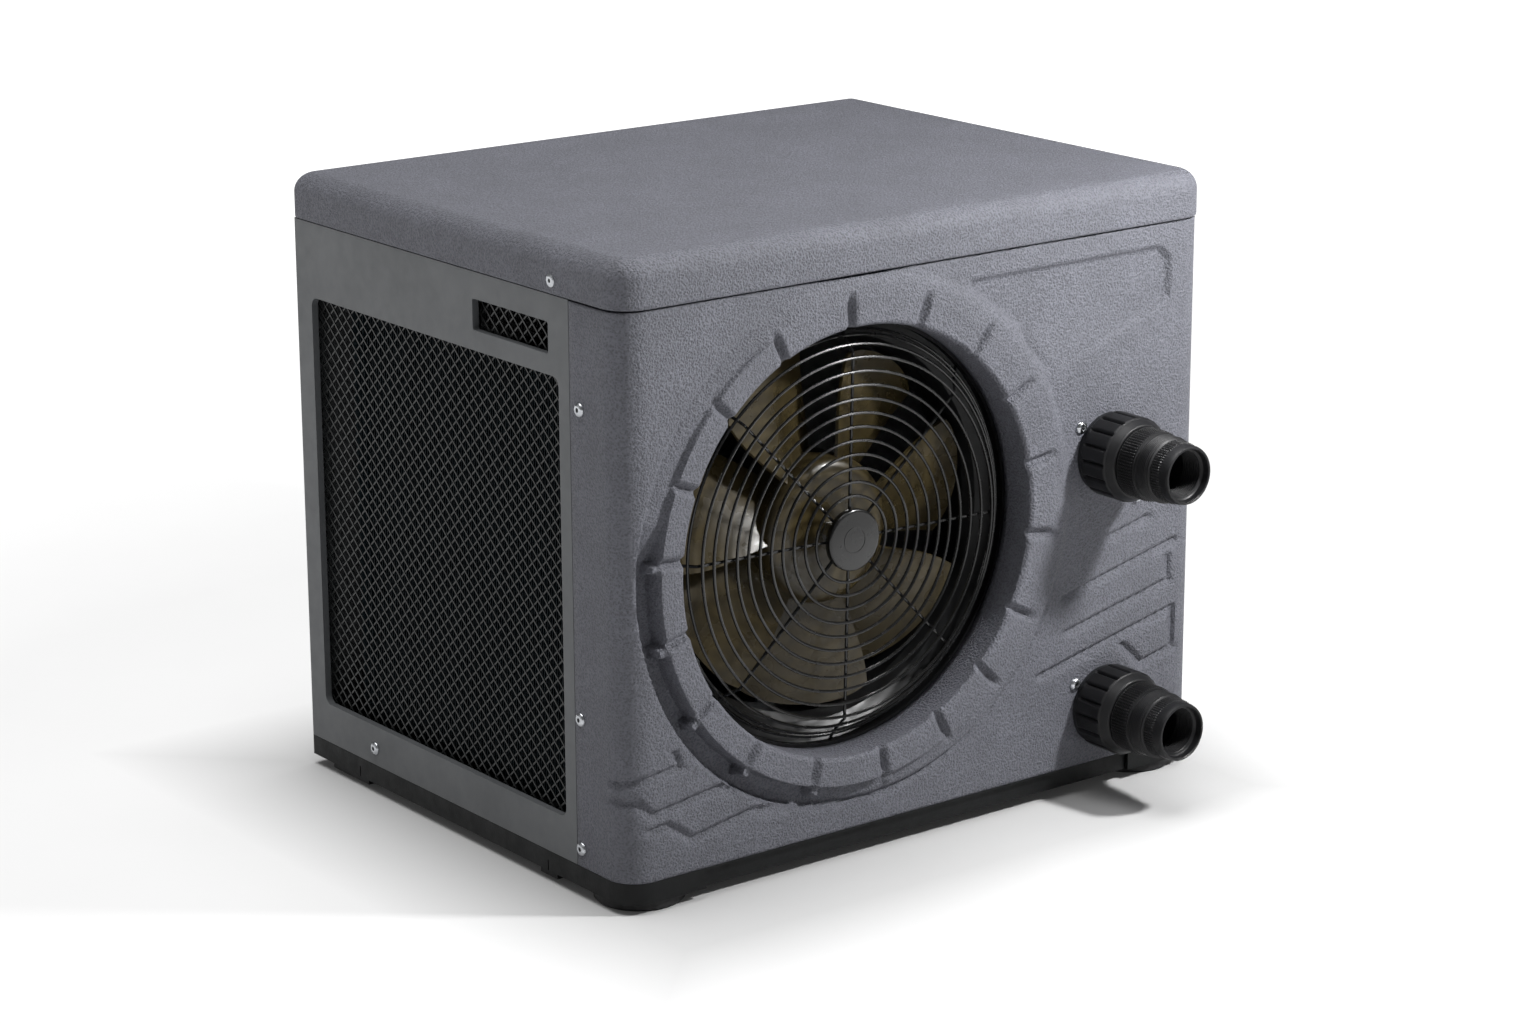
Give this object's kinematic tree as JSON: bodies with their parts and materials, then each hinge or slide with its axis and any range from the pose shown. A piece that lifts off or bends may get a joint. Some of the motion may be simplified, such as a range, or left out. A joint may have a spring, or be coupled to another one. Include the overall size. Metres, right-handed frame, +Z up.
{
  "type": "heat pump unit",
  "caption": "Box-shaped pool water heat pump: moulded front with round grilled fan outlet, mesh air intakes, two hose unions on the front, key panel on the side, rubber feet.",
  "frame": {"origin": "centre of the overall box's footprint, at floor level under the rubber feet", "axes": "+X to the right along the front, -Y out of the front face, +Z up"},
  "size_m": [0.464, 0.45, 0.399],
  "materials": {
    "base_black": "textured",
    "foot_rubber": "matt",
    "moulded_grey": "leather grain",
    "sheet_grey": "powder coat",
    "zinc_sheet": "zinc coated",
    "mesh_black": "powder coat",
    "shroud_black": "satin",
    "guard_black": "plastic coated wire",
    "fan_bronze": "gloss",
    "bright_steel": "zinc plated",
    "motor_grey": "satin",
    "copper": "drawn copper",
    "fin_aluminium": "black hydrophilic coat",
    "compressor_black": "gloss",
    "cover_black": "satin",
    "pvc_black": "satin",
    "titanium": "drawn titanium",
    "union_black": "satin, fine ribs",
    "paddle_white": "satin",
    "board_green": "solder resist",
    "capacitor_grey": "mill",
    "bezel_black": "satin",
    "window_dark": "gloss",
    "button_grey": "satin",
    "lead_rubber": "matt"
  },
  "bodies": {
    "casing": {"base_pan": "base_black", "rubber_feet": "foot_rubber", "front_panel": "moulded_grey", "left_side_panel": "sheet_grey", "right_side_panel": "sheet_grey", "rear_panel": "sheet_grey", "top_lid": "moulded_grey", "partition_plate": "zinc_sheet", "top_rail": "zinc_sheet", "left_intake_mesh": "mesh_black", "rear_intake_mesh": "mesh_black", "fan_shroud": "shroud_black", "fan_guard": "guard_black", "fan_motor": "motor_grey", "fan_motor_bracket": "zinc_sheet", "evaporator_tubes": "copper", "evaporator_fins": "fin_aluminium", "evaporator_end_plates": "zinc_sheet", "compressor": "compressor_black", "compressor_grommets": "foot_rubber", "compressor_bolts": "bright_steel", "compressor_terminal_cover": "cover_black", "suction_accumulator": "compressor_black", "suction_pipe": "copper", "discharge_pipe": "copper", "liquid_pipe": "copper", "filter_drier": "copper", "capillary_tube": "copper", "exchanger_shell": "pvc_black", "exchanger_caps": "pvc_black", "titanium_coil": "titanium", "upper_port": "pvc_black", "lower_port": "pvc_black", "union_gaskets": "foot_rubber", "upper_hose_tail": "union_black", "lower_hose_tail": "union_black", "flow_switch": "cover_black", "flow_switch_pivot": "bright_steel", "control_box": "zinc_sheet", "control_box_cover": "zinc_sheet", "control_board": "board_green", "run_capacitor": "capacitor_grey", "terminal_block": "paddle_white", "display_bezel": "bezel_black", "display_window": "window_dark", "display_board": "board_green", "cable_gland": "cover_black", "inner_leads": "lead_rubber", "casing_rivets": "bright_steel", "front_screws": "bright_steel"},
    "fan": {"fan_rotor": "fan_bronze", "fan_shaft": "bright_steel", "fan_hub_nut": "bright_steel"},
    "upper_nut": {"upper_union_nut": "union_black"},
    "lower_nut": {"lower_union_nut": "union_black"},
    "flow_paddle": {"flow_switch_paddle": "paddle_white"},
    "power_key": {"power_button": "button_grey"},
    "mode_key": {"mode_button": "button_grey"},
    "up_key": {"up_button": "button_grey"},
    "down_key": {"down_button": "button_grey"}
  },
  "joints": [
    {"name": "fan_spin", "type": "hinge", "parent": "casing", "child": "fan", "pos_m": [-0.052, -0.101, 0.202], "axis": [0, -1, 0], "continuous": true},
    {"name": "upper_nut_turn", "type": "hinge", "parent": "casing", "child": "upper_nut", "pos_m": [0.149, -0.165, 0.226], "axis": [0, -1, 0], "continuous": true},
    {"name": "lower_nut_turn", "type": "hinge", "parent": "casing", "child": "lower_nut", "pos_m": [0.149, -0.165, 0.0575], "axis": [0, -1, 0], "continuous": true},
    {"name": "flow_paddle_swing", "type": "hinge", "parent": "casing", "child": "flow_paddle", "pos_m": [0.149, -0.129, 0.0845], "axis": [1, 0, 0], "range_deg": [0, 20], "stiffness_Nm_per_rad": 0.02},
    {"name": "power_press", "type": "slide", "parent": "casing", "child": "power_key", "axis": [-1, 0, 0], "range_m": [0, 0.0012], "stiffness_N_per_m": 300},
    {"name": "mode_press", "type": "slide", "parent": "casing", "child": "mode_key", "axis": [-1, 0, 0], "range_m": [0, 0.0012], "stiffness_N_per_m": 300},
    {"name": "up_press", "type": "slide", "parent": "casing", "child": "up_key", "axis": [-1, 0, 0], "range_m": [0, 0.0012], "stiffness_N_per_m": 300},
    {"name": "down_press", "type": "slide", "parent": "casing", "child": "down_key", "axis": [-1, 0, 0], "range_m": [0, 0.0012], "stiffness_N_per_m": 300}
  ]
}
